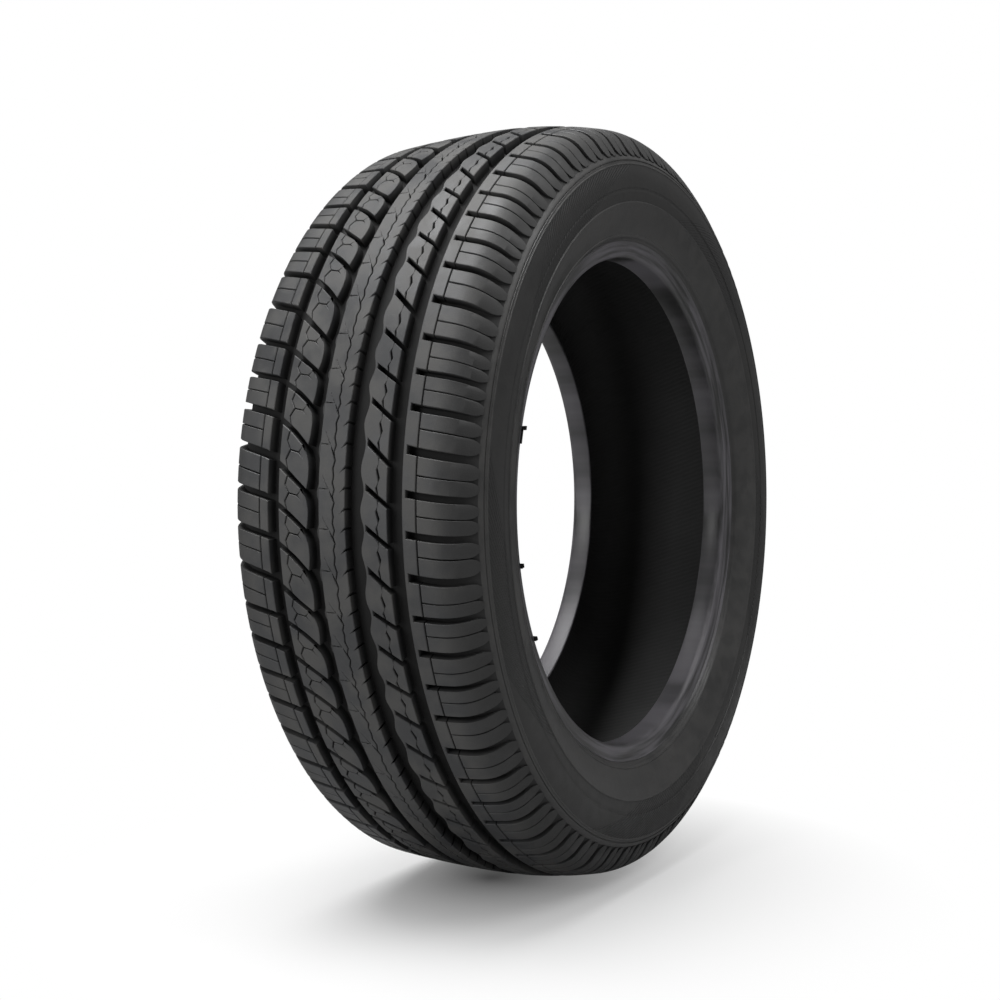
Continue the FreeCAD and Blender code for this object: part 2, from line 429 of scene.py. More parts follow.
# %% Left rib
LEFT_RIB_IN = 20.2
LEFT_RIB_OUT = 46.5
LEAF_GAP_HALF = 2.3         # half of the cut between two leaves
LEAF_CUT = 39.0             # thin cut that splits a leaf
LEAF_TIP = 21.8
LEAF_BELLY = 31.0
LEAF_SWING = 1.7
LEAF_LEGS = 4
TIP_PULL = (-0.4, 6.0)      # the edge bends towards here: across from the rib's edge, along from the tip
BELLY_PULL = (0.6, 10.0)    # and then towards here, along from the waist
FORK_REACH = 7.5            # the branch of the leaf's cut reaches this far towards the centre
FORK_DROP = 1.5
FORK_ROOT = 0.6
TINE_REACH = 2.0            # its two ends go on this far
TINE_SPREAD = 2.6


def fork(knee):
    """Outline of the branch of a leaf's cut, from the knee to its two ends and back."""
    across = knee[0] - FORK_REACH
    along = knee[1] - FORK_DROP
    return [
        (knee[0], knee[1] + THIN),
        (across + FORK_ROOT, along + THIN),
        (across - TINE_REACH, along + TINE_SPREAD),
        (across, along),
        (across - TINE_REACH, along - TINE_SPREAD),
        (across + FORK_ROOT, along - THIN),
        (knee[0], knee[1] - THIN),
    ]


def left_rib(pattern):
    """The two parts of one leaf."""
    low = cut_edge(left_cut, moved=0, side=1, half=even(LEAF_GAP_HALF))
    high = cut_edge(left_cut, moved=PITCH, side=-1, half=even(LEAF_GAP_HALF))
    outer = LEAF_CUT + THIN
    inner = LEAF_CUT - THIN
    outline = stretch(low, outer, LEFT_RIB_OUT, count=3)[1:]
    outline += stretch(high, LEFT_RIB_OUT, outer, count=3)[:-1]
    outline += zigzag(outer, high(outer), low(outer), LEAF_SWING, LEAF_LEGS)
    raise_block(pattern, outline)
    tip = (LEAF_TIP, low(LEAF_TIP))
    waist = (LEFT_RIB_IN, tip[1] + PITCH / 2)
    belly = (LEAF_BELLY, high(LEAF_BELLY))
    outline = stretch(low, inner, LEAF_TIP, count=6)
    outline += bow(tip, (LEFT_RIB_IN + TIP_PULL[0], tip[1] + TIP_PULL[1]), waist, count=4)[1:]
    outline += bow(waist, (LEFT_RIB_IN + BELLY_PULL[0], waist[1] + BELLY_PULL[1]), belly, count=5)[1:]
    outline += stretch(high, LEAF_BELLY, inner, count=3)[1:]
    wander = zigzag(inner, high(inner), low(inner), LEAF_SWING, LEAF_LEGS)
    knee = LEAF_LEGS // 2
    outline += wander[1:knee] + fork(wander[knee]) + wander[knee + 1:-1]
    raise_block(pattern, outline)


print("left rib", round(LEFT_RIB_OUT - LEFT_RIB_IN, 1), "mm wide")

# %% [markdown]
# The centre rib runs through. It has a wandering thin cut with a side branch down its middle, small
# nicks along its edges and a sunken, scalloped ledge on its left, which a cosine draws.

# %% Centre rib
CENTRE_HALF = 11.0
CENTRE_CUT = -1.4           # thin cut down the centre rib
CENTRE_SWING = 0.8
CENTRE_LEGS = 6
BRANCH_PLACE = -0.05        # its side branch starts here, as a share of the pitch
BRANCH_TIP = (5.6, 9.0)     # and ends here: across from the cut, along from its start
BRANCH_BACK = (0.9, 1.4)
BRANCH_MOUTH = 2.0
LEDGE_REACH = 4.2           # reach of the scalloped ledge beside the centre rib
LEDGE_PLACE = 0.1           # where it reaches out furthest, as a share of the pitch
LEDGE_ROOT = 1.5            # it starts this far inside the rib
LEDGE_SUNK = 3.2
LEFT_NICK = 5.5             # place of the nick in the left edge of the centre rib
RIGHT_NICKS = (-0.3, 0.22)  # places of those in the right edge, as shares of the pitch
WAVE_STEPS = 8


def nick(edge, along, half, reach, slant):
    """A pointed cut in the edge of a rib; a negative half lists it from its upper end."""
    return [(edge, along - half), (edge + reach, along - slant), (edge, along + half)]


def down_the_pitch(across_at):
    """Points of a wavy edge, from the upper end of the pitch to the lower one."""
    places = [RIB_END - PITCH * i / WAVE_STEPS for i in range(WAVE_STEPS + 1)]
    return [(across_at(along / PITCH), along) for along in places]


def ledge_edge(share):
    """Edge of the scalloped ledge at a share of the pitch."""
    return CENTRE_HALF + LEDGE_REACH * (0.5 + 0.5 * math.cos(math.tau * (share - LEDGE_PLACE)))


def centre_rib(pattern):
    """Two halves with a wandering cut between them, and the ledge."""
    cut = zigzag(CENTRE_CUT, -RIB_END, RIB_END, CENTRE_SWING, CENTRE_LEGS)
    start = BRANCH_PLACE * PITCH
    left_side = [(across + THIN, along) for across, along in cut]
    outline = [point for point in left_side if point[1] < start]
    outline += [(CENTRE_CUT + across, start + along) for across, along in (BRANCH_TIP, BRANCH_BACK)]
    outline += [point for point in left_side if point[1] > start + BRANCH_MOUTH]
    outline += [(CENTRE_HALF, RIB_END)]
    outline += nick(CENTRE_HALF, LEFT_NICK, half=-0.5, reach=-5.0, slant=0.2)
    outline += [(CENTRE_HALF, -RIB_END)]
    raise_block(pattern, outline, through=True)
    root = CENTRE_HALF - LEDGE_ROOT
    outline = down_the_pitch(ledge_edge) + [(root, -RIB_END), (root, RIB_END)]
    raise_block(pattern, outline, through=True, sunk=LEDGE_SUNK)
    outline = [(-CENTRE_HALF, -RIB_END)]
    for share in RIGHT_NICKS:
        outline += nick(-CENTRE_HALF, share * PITCH, half=1.0, reach=3.0, slant=2.4)
    outline += [(-CENTRE_HALF, RIB_END)]
    outline += [(across - THIN, along) for across, along in reversed(cut)]
    raise_block(pattern, outline, through=True)


print("centre rib", 2 * CENTRE_HALF, "mm wide")

# %% [markdown]
# The right rib keeps a wavy inner edge and only has short slanted slots, open to its outer side. So
# its inner part runs through, and the outer part is one block between two slots.

# %% Right rib
RIGHT_RIB_IN = 24.5
RIGHT_RIB_OUT = 43.5
SLOT_HALF = 2.1             # half of a slot
SLOT_MIDDLE = 35.5
SLOT_LEAN = 0.78
RIGHT_RIB_CUT = 36.5        # thin cut along the right rib
RIGHT_SWING = 1.0
SLOT_WALL = 3.0             # rubber between the slots and the inner edge of the right rib
RIB_WAVE = 1.3              # swing of that edge
RIB_WAVE_PLACE = 0.1


def right_slot(run):
    """Middle of the short slanted slot in the right rib."""
    return SLOT_LEAN * (run + SLOT_MIDDLE)


def rib_edge(share):
    """Inner edge of the right rib at a share of the pitch."""
    return -RIGHT_RIB_IN - RIB_WAVE * math.sin(math.tau * (share + RIB_WAVE_PLACE))


def right_rib(pattern):
    """Inner part that runs through, and the outer block between two slots."""
    low = cut_edge(right_slot, moved=0, side=-1, half=even(SLOT_HALF))
    high = cut_edge(right_slot, moved=0, side=1, half=even(SLOT_HALF))
    inner = -RIGHT_RIB_CUT + THIN
    outer = -RIGHT_RIB_CUT - THIN
    blind = -RIGHT_RIB_IN - SLOT_WALL
    outline = down_the_pitch(rib_edge)
    outline += zigzag(inner, -RIB_END, low(inner), RIGHT_SWING, legs=3)[:-1]
    outline += stretch(low, inner, blind, count=3) + stretch(high, blind, inner, count=3)
    outline += zigzag(inner, high(inner), RIB_END, RIGHT_SWING, legs=3)[1:]
    raise_block(pattern, outline, through=True)
    outline = stretch(high, -RIGHT_RIB_OUT, outer, count=2)
    outline += zigzag(outer, high(outer), low(outer) + PITCH, RIGHT_SWING, legs=4)[1:-1]
    outline += [(run, along + PITCH) for run, along in stretch(low, outer, -RIGHT_RIB_OUT, count=2)]
    raise_block(pattern, outline)


print("right rib", round(RIGHT_RIB_OUT - RIGHT_RIB_IN, 1), "mm wide")

# %% [markdown]
# Flat faces stay flat when their corners are moved, so before the pattern is bent round the tyre it
# is sliced into narrow strips: coarsely across the crown, finely over the shoulder, and a few times
# along each pitch. How deep every corner lies is kept as a number, by which the finish paints shade
# on the walls of the grooves.

# %% Slice the pattern
SLICE_RUNS = [15.0, 30.0, 45.0, 60.0, 75.0, 79.0, 83.0, 87.0, 91.0, 95.5]
SLICES_PER_PITCH = 3
SLICES_ALONG = [PITCH * i / SLICES_PER_PITCH for i in range(-5, 6)]


def slice_pattern(pattern):
    """Cuts the faces of the flat pattern along straight lines."""
    planes = [((0, side * run, 0), (0, 1, 0)) for run in SLICE_RUNS for side in (1, -1)]
    planes += [((along, 0, 0), (1, 0, 0)) for along in SLICES_ALONG]
    for point, normal in planes:
        everything = pattern.verts[:] + pattern.edges[:] + pattern.faces[:]
        bmesh.ops.bisect_plane(pattern, geom=everything, plane_co=point, plane_no=normal, dist=TOUCH)


def note_depth(pattern):
    """Keeps how deep each corner lies, from 0 at the tread surface to 1 at the groove floor."""
    depth = pattern.verts.layers.float.new("depth")
    for vert in pattern.verts:
        vert[depth] = -vert.co.z / GROOVE_DEPTH


print(2 * len(SLICE_RUNS), "slices across the pattern and", len(SLICES_ALONG), "along it")

# %% [markdown]
# Now the pitch is copied round the tyre, every corner is wrapped, and corners that meet become one.
# An array modifier would do the copying as well; here the mesh is final at once.

# %% Repeat and wrap the pattern
TREAD_MERGE = 0.02          # corners of neighbouring pitches closer than this become one


def tread_mesh(name, builders):
    """Mesh of the blocks that these functions draw, repeated for every pitch and wrapped."""
    pattern = bmesh.new()
    for build in builders:
        build(pattern)
    slice_pattern(pattern)
    note_depth(pattern)
    pitch_mesh = mesh_from("pitch", pattern)
    bm = bmesh.new()
    for i in range(PITCHES):
        known = len(bm.verts)
        bm.from_mesh(pitch_mesh)
        bm.verts.ensure_lookup_table()
        bmesh.ops.translate(bm, verts=bm.verts[known:], vec=((i + 0.5) * PITCH, 0, 0))
    bpy.data.meshes.remove(pitch_mesh)
    for vert in bm.verts:
        vert.co = wrap(vert.co)
    bmesh.ops.remove_doubles(bm, verts=bm.verts[:], dist=TREAD_MERGE * MM)
    return mesh_from(name, bm)


print("a pitch is repeated", PITCHES, "times")

# %% [markdown]
# Shader arithmetic reads best as arithmetic. This class wraps a socket of a node, so that a plain
# expression adds the Math nodes that work it out.

# %% Numbers in a node tree
class Value:
    """A number in a material's node tree."""

    def __init__(self, finish, socket):
        self.finish = finish
        self.socket = socket

    def math(self, operation, first, second=0.0):
        return self.finish.node("ShaderNodeMath", {"operation": operation}, {0: first, 1: second})

    def __add__(self, other):
        return self.math("ADD", self, other)

    def __radd__(self, other):
        return self.math("ADD", other, self)

    def __sub__(self, other):
        return self.math("SUBTRACT", self, other)

    def __rsub__(self, other):
        return self.math("SUBTRACT", other, self)

    def __mul__(self, other):
        return self.math("MULTIPLY", self, other)

    def __rmul__(self, other):
        return self.math("MULTIPLY", other, self)

    def __pow__(self, other):
        return self.math("POWER", self, other)


print("operators ready")

# %% [markdown]
# The second class holds a material and adds any node from its type, its settings and its inputs.
# Lengths in a finish are in metres.

# %% Finishes from nodes
class Finish:
    """A material that is being put together around its Principled shader."""

    def __init__(self, name):
        self.material = bpy.data.materials.new(name)
        self.material.use_nodes = True
        self.tree = self.material.node_tree
        self.shader = self.tree.nodes["Principled BSDF"]

    def feed(self, socket, value):
        """Links a socket to a value of the tree, or sets it to a plain one."""
        if isinstance(value, Value):
            self.tree.links.new(value.socket, socket)
        else:
            socket.default_value = value

    def node(self, kind, settings, inputs, output=0):
        """Any node, with one of its outputs as a value."""
        node = self.tree.nodes.new(kind)
        for name, setting in settings.items():
            setattr(node, name, setting)
        for name, value in inputs.items():
            self.feed(node.inputs[name], value)
        return Value(self, node.outputs[output])

    def set(self, **inputs):
        """Feeds the shader's inputs; an underscore stands for a space in their names."""
        for name, value in inputs.items():
            self.feed(self.shader.inputs[name.replace("_", " ")], value)

    def place(self):
        """The three coordinates of a point on the piece."""
        point = self.node("ShaderNodeTexCoord", {}, {}, "Object")
        split = self.node("ShaderNodeSeparateXYZ", {}, {"Vector": point}, "X")
        return [Value(self, split.socket.node.outputs[axis]) for axis in "XYZ"]

    def noise(self, scale, detail=3.0):
        point = self.node("ShaderNodeTexCoord", {}, {}, "Object")
        return self.node("ShaderNodeTexNoise", {}, {"Vector": point, "Scale": scale, "Detail": detail})

    def between(self, value, low, high):
        """0 below the low end, 1 above the high end, and a soft step between them."""
        settings = {"interpolation_type": "SMOOTHSTEP"}
        inputs = {"Value": value, "From Min": low, "From Max": high}
        return self.node("ShaderNodeMapRange", settings, inputs)

    def mix(self, share, first, second):
        settings = {"data_type": "RGBA"}
        return self.node("ShaderNodeMix", settings, {0: share, 6: first, 7: second}, 2)

    def bump(self, height, strength, distance):
        inputs = {"Height": height, "Strength": strength, "Distance": distance}
        return self.node("ShaderNodeBump", {}, inputs)


def grey(level, warmth=0.0):
    """A neutral colour, a little warmer or cooler."""
    return (level * (1 + warmth), level, level * (1 - warmth), 1)


print("a middle grey is written", grey(0.5))

# %% [markdown]
# Rubber is black by its carbon, but a moulded tread looks dark grey: its skin is slightly rough and
# carries a bloom of wax. The walls of the grooves get painted shade that deepens towards the groove
# floor, and the skin gets painted shade down the shoulder. Soft clouds and a fine grain keep it from
# looking like plastic. All of it is procedural, so it has no seam round the tyre.

# %% Tread rubber
# On the shoulder the tread skin takes painted shade, and the walls and floors of the grooves less of it.
CROWN_EDGE = 0.066          # the shoulder's look starts this far from the centre plane
BUTTRESS_EDGE = 0.096       # and is complete here


def on_shoulder(finish):
    """0 on the crown and 1 on the buttress, with a soft step between them."""
    across = finish.place()[1]
    return finish.between(across.math("ABSOLUTE", across), CROWN_EDGE, BUTTRESS_EDGE)


def tread_rubber():
    """Skin of the blocks, with painted shade down their walls and down the shoulder."""
    finish = Finish("tread_rubber")
    cloud = finish.between(finish.noise(38.0, 4.0), 0.35, 0.65)
    uneven = finish.noise(900.0) * 0.5 + finish.noise(140.0, 4.0)
    depth = finish.node("ShaderNodeAttribute", {"attribute_name": "depth"}, {}, "Fac")
    outer = on_shoulder(finish)
    # Painted shade: the walls of the grooves darken towards the groove floor, less so on the shoulder.
    wall = finish.between(depth, 0.08, 0.75) * (1 - 0.45 * outer)
    skin = finish.mix(cloud, (0.04, 0.041, 0.043, 1), (0.07, 0.069, 0.067, 1))
    # Painted shade: the skin is mixed towards a darker grey down the shoulder.
    finish.set(
        Base_Color=finish.mix(wall, finish.mix(outer, skin, grey(0.034)), grey(0.006)),
        Roughness=0.44 + 0.18 * cloud + 0.25 * wall + 0.08 * outer,
        Normal=finish.bump(uneven, 0.3, 0.0006),
        Specular_IOR_Level=0.45,
    )
    return finish.material


TREAD = tread_rubber()
print(TREAD.name, "with", len(TREAD.node_tree.nodes), "nodes")

# %% [markdown]
# On the real tyre the tread is one layer with all that lies under it. Here it is three pieces, so
# that each part of the pattern can be looked at alone; one piece would render the same.

# %% Tread pieces
TREAD_SHARP = 32            # edges bent by more degrees than this stay sharp


def add_piece(name, mesh, finishes, sharp_degrees):
    """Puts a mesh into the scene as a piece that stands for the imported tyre."""
    for finish in finishes:
        mesh.materials.append(finish)
    mesh.polygons.foreach_set("use_smooth", [True] * len(mesh.polygons))
    mesh.set_sharp_from_angle(angle=math.radians(sharp_degrees))
    piece = bpy.data.objects.new(name, mesh)
    bpy.context.scene.collection.objects.link(piece)
    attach(piece, "root")
    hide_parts("tyre")
    mesh.calc_loop_triangles()
    print(name, len(mesh.loop_triangles), "triangles")


add_piece("tread_left", tread_mesh("tread_left", [left_shoulder, left_rib]), [TREAD], TREAD_SHARP)
add_piece("tread_middle", tread_mesh("tread_middle", [centre_rib, right_rib]), [TREAD], TREAD_SHARP)
add_piece("tread_right", tread_mesh("tread_right", [right_shoulder]), [TREAD], TREAD_SHARP)

# %% [markdown]
# Everything but the blocks is round, so it is one closed outline that is spun about the axle: the
# groove floor, the sidewall with its rings, the bead and the lining. Each ring is a small offset of
# the wall at a radius, the same on both sides. The wall itself is two arcs that meet at the widest
# place, so few numbers give the whole section.

# %% Groove floor and sidewall
RINGS = [                   # radius, and height above the plain sidewall
    (280.2, 0.0), (279.9, -0.7), (279.3, -0.7), (279.0, 0.0),
    (277.6, 0.0), (277.2, 0.5), (276.6, 0.5), (276.0, 0.0),
    (258.2, 0.0), (257.6, -0.7), (256.4, -0.7), (255.8, -0.35),
    (247.4, -0.35), (246.4, 0.5), (244.6, 0.5), (243.4, 0.2),
    (222.2, 0.2), (221.4, 1.1), (219.6, 1.1), (218.9, 0.1),
    (217.0, 0.0), (216.5, 0.7), (215.5, 0.7), (215.0, 0.0),
]
FLOOR_RUNS = [0, 20, 40, 56, 70, 80, EDGE_RUN, 90, 94, 98, 102]
WALL_STEP = 2.5             # the plain sidewall has a point at every such step of radius
WALL_STEPS = 29
LINE_HALF = 87.0            # half width and radius of the line where the sidewall meets the rim
LINE_R = SEAT_R + 16.5
FACE_TOP_R = SEAT_R + 9.0   # the flat face of the bead starts here
FACE_CURVE = 1.6            # how quickly the wall falls to that face
HEEL_HALF = 82.5


def bulge(end_half, end_r, radius):
    """Half width of a wall that is widest at the widest radius and passes through its end."""
    step = SECTION_HALF - end_half
    rise = end_r - WIDEST_R
    curve_r = (step ** 2 + rise ** 2) / (2 * step)
    return SECTION_HALF - curve_r + math.sqrt(curve_r ** 2 - (radius - WIDEST_R) ** 2)


def wall_half(radius, half):
    """Half width of the plain sidewall at a radius."""
    if radius >= WIDEST_R:
        return bulge(half.at(half.tip)[0], TIP_R, radius)
    if radius >= LINE_R:
        return bulge(LINE_HALF, LINE_R, radius)
    share = (LINE_R - radius) / (LINE_R - FACE_TOP_R)
    return HEEL_HALF + (LINE_HALF - HEEL_HALF) * (1 - share) ** FACE_CURVE


def ring_offset(radius):
    """Height of the moulded rings above the plain sidewall."""
    for (r_high, high), (r_low, low) in zip(RINGS, RINGS[1:]):
        if r_low <= radius <= r_high:
            share = (r_high - radius) / (r_high - r_low)
            return high + (low - high) * share
    return 0.0


def floor_points(half, side):
    """Groove floor from the centre to where the shoulder cuts end."""
    points = []
    for run in FLOOR_RUNS + [half.tip]:
        across, radius, slope = half.at(run)
        depth = groove_depth(side * run)
        points.append((across - math.sin(slope) * depth, radius - math.cos(slope) * depth))
    return points


def wall_points(half):
    """Sidewall with its rings, down to the face of the bead."""
    radii = {radius for radius, height in RINGS}
    radii |= {TIP_R - WALL_STEP * i for i in range(1, WALL_STEPS + 1)}
    radii = sorted((radius for radius in radii if radius > FACE_TOP_R), reverse=True)
    return [(wall_half(radius, half) + ring_offset(radius), radius) for radius in radii]


print("sidewall of", len(wall_points(LEFT)), "points")

# %% [markdown]
# The bead grips the rim: a round heel outside, the seat, and a sharp toe inside. From the toe the
# lining follows the wall up to the flat under the crown, as the inside of a real tyre does.

# %% Bead and lining
HEEL_ROUND = 5.5
HEEL_STEPS = 6
TOE_HALF = 61.0
TOE_ROUND = 1.5
TOE_CORNER = 0.4
TOE_TOP_R = SEAT_R + 2.0    # the lining starts here
SIDE_WALL = 9.0             # rubber from the sidewall to the lining
CROWN_WALL = 17.5           # and from the crown
LINING_R = OUTER_R - CROWN_WALL
LINING_HALF = 55.0          # half width of the flat lining under the crown
LOWER_SHARES = [0.1, 0.3, 0.5, 0.7, 0.85]
UPPER_STEPS = 8


def bead_points():
    """Round heel, seat and toe."""
    points = []
    for i in range(HEEL_STEPS + 1):
        turn = math.radians(90 * i / HEEL_STEPS)
        across = HEEL_HALF - HEEL_ROUND * (1 - math.cos(turn))
        points.append((across, SEAT_R + HEEL_ROUND * (1 - math.sin(turn))))
    points.append((TOE_HALF + TOE_ROUND, SEAT_R))
    points.append((TOE_HALF + TOE_CORNER, SEAT_R + TOE_CORNER))
    points.append((TOE_HALF, SEAT_R + TOE_ROUND))
    return points


def lining_points():
    """Lining from the toe past the widest place to the flat under the crown."""
    points = []
    widest_half = SECTION_HALF - SIDE_WALL
    for share in LOWER_SHARES:
        across = TOE_HALF + (widest_half - TOE_HALF) * math.sin(share * math.pi / 2)
        points.append((across, TOE_TOP_R + (WIDEST_R - TOE_TOP_R) * share))
    for i in range(UPPER_STEPS + 1):
        turn = math.radians(90 * i / UPPER_STEPS)
        across = LINING_HALF + (widest_half - LINING_HALF) * math.cos(turn)
        points.append((across, WIDEST_R + (LINING_R - WIDEST_R) * math.sin(turn)))
    return points


def side_outline(half, side):
    """Half of the outline, from the crown's groove floor over the sidewall to the crown's lining."""
    return floor_points(half, side) + wall_points(half) + bead_points() + lining_points()


left_outline = side_outline(LEFT, 1)
right_outline = side_outline(RIGHT, -1)
print("outline of", len(left_outline) + len(right_outline), "points")

# %% [markdown]
# The carcass takes four finishes. Its sidewall is satin, with a duller band between two rings and
# patches of fine slanted hatching in it. Radius and angle place them, so they follow the rings.

# %% Sidewall rubber
BAND_IN = 0.247             # radius of the inner and the outer edge of the duller band
BAND_OUT = 0.2764
BAND_SOFT = 0.0002


def round_place(finish):
    """Radius from the axle, angle round it and distance along it, as numbers for a pattern."""
    x, across, z = finish.place()
    radius = (x * x + z * z) ** 0.5
    angle = x.math("ARCTAN2", z, x)
    return radius, angle, across


def sidewall_rubber():
    """Satin wall with a duller band and patches of hatching."""
    finish = Finish("sidewall_rubber")
    radius, angle = round_place(finish)[:2]
    broad = finish.between(finish.noise(16.0, 5.0), 0.3, 0.7)
    small = finish.between(finish.noise(70.0, 5.0), 0.4, 0.6)
    cloud = broad * 0.6 + small * 0.4
    past_band = finish.between(radius, BAND_OUT - BAND_SOFT, BAND_OUT + BAND_SOFT)
    dull = finish.between(radius, BAND_IN - BAND_SOFT, BAND_IN + BAND_SOFT) * (1 - past_band)
    patch = finish.between(angle.math("SINE", angle * 5.0 + radius * 60.0), 0.1, 0.16) * dull
    hatch = angle.math("SINE", angle * 300.0 + radius * 2600.0) * patch
    uneven = finish.noise(700.0) * 0.3 + finish.noise(110.0, 4.0) + hatch * 1.2
    shade = finish.mix(cloud, grey(0.035), grey(0.058, 0.02))
    finish.set(
        Base_Color=finish.mix(dull * 0.55 + patch * 0.25, shade, grey(0.014)),
        Roughness=0.34 + 0.2 * cloud + 0.12 * dull,
        Normal=finish.bump(uneven, 0.3, 0.0006),
        Specular_IOR_Level=0.45,
    )
    return finish.material


SIDEWALL = sidewall_rubber()
print(SIDEWALL.name, "with", len(SIDEWALL.node_tree.nodes), "nodes")

# %% [markdown]
# The bead is smoother, because the mould is polished there, and streaks of painted sheen run round
# it. Their noise is laid on the cosine and sine of the angle, so that it closes without a seam.

# %% Bead rubber
def bead_rubber():
    """Smooth bead with streaks of painted sheen."""
    finish = Finish("bead_rubber")
    radius, angle = round_place(finish)[:2]
    cloud = finish.noise(14.0)
    east = angle.math("COSINE", angle) * 3.0
    north = angle.math("SINE", angle) * 3.0
    along = finish.node("ShaderNodeCombineXYZ", {}, {"X": east, "Y": north, "Z": radius * 300.0})
    streak = finish.node("ShaderNodeTexNoise", {}, {"Vector": along, "Scale": 1.0, "Detail": 4.0})
    # Painted sheen: light purple-grey streaks run round the bead.
    painted_sheen = finish.between(streak, 0.35, 0.65)
    finish.set(
        Base_Color=finish.mix(painted_sheen, grey(0.032), (0.125, 0.12, 0.132, 1)),
        Roughness=0.24 + 0.12 * cloud + 0.15 * painted_sheen,
        Normal=finish.bump(finish.noise(500.0), 0.2, 0.0003),
        Specular_IOR_Level=0.5,
    )
    return finish.material


BEAD = bead_rubber()
print(BEAD.name, "with", len(BEAD.node_tree.nodes), "nodes")

# %% [markdown]
# The lining is dull black with the fine slanted ribs that the moulding bladder leaves. The groove
# floor is painted near black as shade down in the grooves, and only its shallow ends down the shoulder are
# lighter.

# %% Lining and groove floor
def lining_rubber():
    """Dull lining with slanted ribs."""
    finish = Finish("lining_rubber")
    angle, across = round_place(finish)[1:]
    slant = angle.math("SINE", angle * 420.0 + across * 500.0)
    finish.set(
        Base_Color=finish.mix(finish.noise(20.0), grey(0.028), grey(0.044)),
        Roughness=0.68 + 0.06 * slant,
        Normal=finish.bump(slant, 0.25, 0.0004),
        Specular_IOR_Level=0.25,
    )
    return finish.material


def groove_rubber():
    """Groove floor in painted shade, lighter down the shoulder where it is shallow."""
    finish = Finish("groove_rubber")
    cloud = finish.noise(12.0)
    # Painted shade: the groove floor is near black, and lighter on the shoulder where it is shallow.
    painted_floor_shade = finish.mix(cloud, grey(0.006), grey(0.012))
    finish.set(
        Base_Color=finish.mix(on_shoulder(finish), painted_floor_shade, grey(0.03)),
        Roughness=0.66 + 0.15 * cloud,
        Normal=finish.bump(finish.noise(800.0), 0.2, 0.0003),
        Specular_IOR_Level=0.3,
    )
    return finish.material


LINING = lining_rubber()
GROOVE = groove_rubber()
CARCASS_FINISHES = [GROOVE, SIDEWALL, BEAD, LINING]
print("carcass finishes", [finish.name for finish in CARCASS_FINISHES])

# %% [markdown]
# A round body could also come from a screw modifier. Spinning the outline with bmesh closes the ring
# without a seam, and the faces can be sorted into the four finishes at once, by where they lie and
# which way they look.

# %% Carcass piece
SPIN_STEPS = 216
SPIN_MERGE = 0.01
CARCASS_SHARP = 40
BEAD_TOP_R = SEAT_R + 14.5  # bead finish up to here
LINING_FOOT_R = SEAT_R + 3  # lining finish from this radius
LINING_FROM = TOE_HALF - 1  # this far from the centre plane it is all that doesn't look outwards
LINING_TO = 93.5            # up to this distance
SIDEWALL_FROM = 80.0        # sidewall finish from this distance
SIDEWALL_TOP_R = TIP_R - 0.05
GROOVE_INDEX, SIDEWALL_INDEX, BEAD_INDEX, LINING_INDEX = range(4)


def finish_index(face):
    """Which of the four finishes a face of the carcass has."""
    centre = face.calc_center_median()
    radius = math.hypot(centre.x, centre.z) / MM
    across = abs(centre.y) / MM
    to_axle = face.normal.x * centre.x + face.normal.z * centre.z < 0
    to_outside = face.normal.y * centre.y > 0
    looks_in = not to_outside and (to_axle or across > LINING_FROM)
    if looks_in and radius > LINING_FOOT_R and across < LINING_TO:
        return LINING_INDEX
    if radius < BEAD_TOP_R:
        return BEAD_INDEX
    if radius < SIDEWALL_TOP_R and across > SIDEWALL_FROM:
        return SIDEWALL_INDEX
    return GROOVE_INDEX


def carcass_mesh(name):
    """The outlines of both halves, spun about the axle and sorted into four finishes."""
    bm = bmesh.new()
    loop = left_outline + [(-across, radius) for across, radius in right_outline[-1:0:-1]]
    ring = [bm.verts.new((-radius * MM, across * MM, 0)) for across, radius in loop]
    edges = [bm.edges.new(pair) for pair in zip(ring, ring[1:] + ring[:1])]
    bmesh.ops.spin(
        bm, geom=ring + edges, cent=(0, 0, 0), axis=(0, 1, 0), dvec=(0, 0, 0),
        angle=math.tau, steps=SPIN_STEPS, use_merge=True, use_duplicate=False,
    )
    bmesh.ops.remove_doubles(bm, verts=bm.verts[:], dist=SPIN_MERGE * MM)
    bmesh.ops.recalc_face_normals(bm, faces=bm.faces[:])
    for face in bm.faces:
        face.material_index = finish_index(face)
    return mesh_from(name, bm)


add_piece("carcass", carcass_mesh("carcass"), CARCASS_FINISHES, CARCASS_SHARP)

# %% [markdown]
# Where the bead ring of the mould closes, a little rubber is pressed out and tears off when the tyre
# is taken out. Three such scraps stand on the heel of the right bead, each a thin strip with a tooth
# at its upper end. A flat outline that is bent to the heel's circle and thickened is enough.

# %% Scraps on the bead
SCRAPS = [                  # degrees above the front of the upper and the lower end, and the tooth's reach
    (15.8, 12.2, 3.4),
    (-12.0, -13.0, 2.0),
    (-28.2, -29.2, 2.0),
]
SCRAP_R = SEAT_R + 3.0
SCRAP_WALL = 1.3
SCRAP_ROOT = HEEL_HALF - 3.0
STRIP_EDGE = HEEL_HALF + 0.9
TOOTH_DEGREES = 0.8
SCRAP_SHARP = 30


